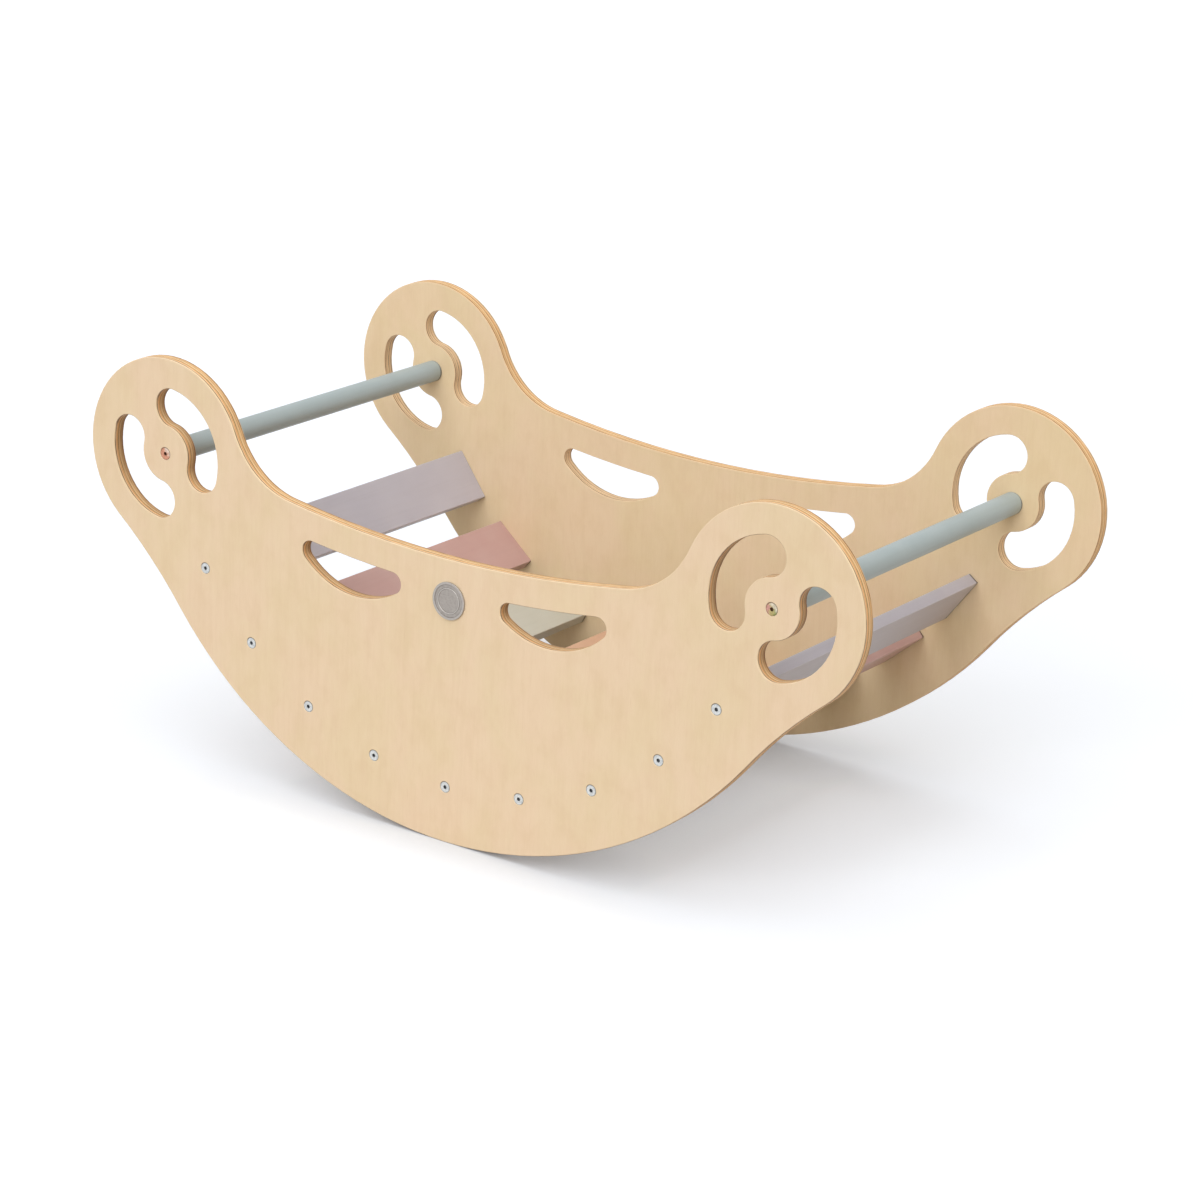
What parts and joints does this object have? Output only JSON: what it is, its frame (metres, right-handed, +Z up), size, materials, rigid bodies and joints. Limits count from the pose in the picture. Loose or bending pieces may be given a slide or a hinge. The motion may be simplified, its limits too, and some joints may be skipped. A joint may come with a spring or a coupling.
{
  "type": "climbing rocker",
  "caption": "Wooden rocker boat for children: two curved plywood sides with hand holes, joined by painted slats and round grip bars; it rocks, or turns over to climb.",
  "frame": {"origin": "on the floor under the lowest point of the two rocking edges, midway between the sides", "axes": "+X along the boat towards the right-hand round ends as seen from the badge's side, +Y across it from the badge's side to the other side, +Z up"},
  "size_m": [1.002, 0.4925, 0.457],
  "materials": {
    "birch_plywood": "clear satin lacquer",
    "paint_lilac": "satin paint on wood",
    "paint_pink": "satin paint on wood",
    "paint_sage": "satin paint on wood",
    "paint_peach": "satin paint on wood",
    "paint_mist": "satin paint on wood",
    "zinc_steel": "bright zinc plate",
    "yellow_zinc_steel": "yellow zinc plate",
    "badge_steel": "brushed",
    "beech": "bare",
    "adhesive_pad": "matt foam tape"
  },
  "bodies": {
    "root": {"side_panel_front": "birch_plywood", "side_panel_back": "birch_plywood", "slat_1": "paint_lilac", "slat_2": "paint_pink", "slat_3": "paint_sage", "slat_4": "paint_peach", "slat_5": "paint_mist", "slat_6": "paint_peach", "slat_7": "paint_sage", "slat_8": "paint_pink", "slat_9": "paint_lilac", "grip_bar_left": "paint_mist", "grip_bar_right": "paint_mist", "slat_bolts_front": "zinc_steel", "slat_bolts_back": "zinc_steel", "bar_bolts_front": "yellow_zinc_steel", "bar_bolts_back": "yellow_zinc_steel", "slat_sleeves_front": "zinc_steel", "slat_sleeves_back": "zinc_steel", "bar_sleeves_left": "zinc_steel", "bar_sleeves_right": "zinc_steel", "slat_dowels_front": "beech", "slat_dowels_back": "beech", "badge": "badge_steel", "badge_pad": "adhesive_pad"}
  },
  "joints": []
}
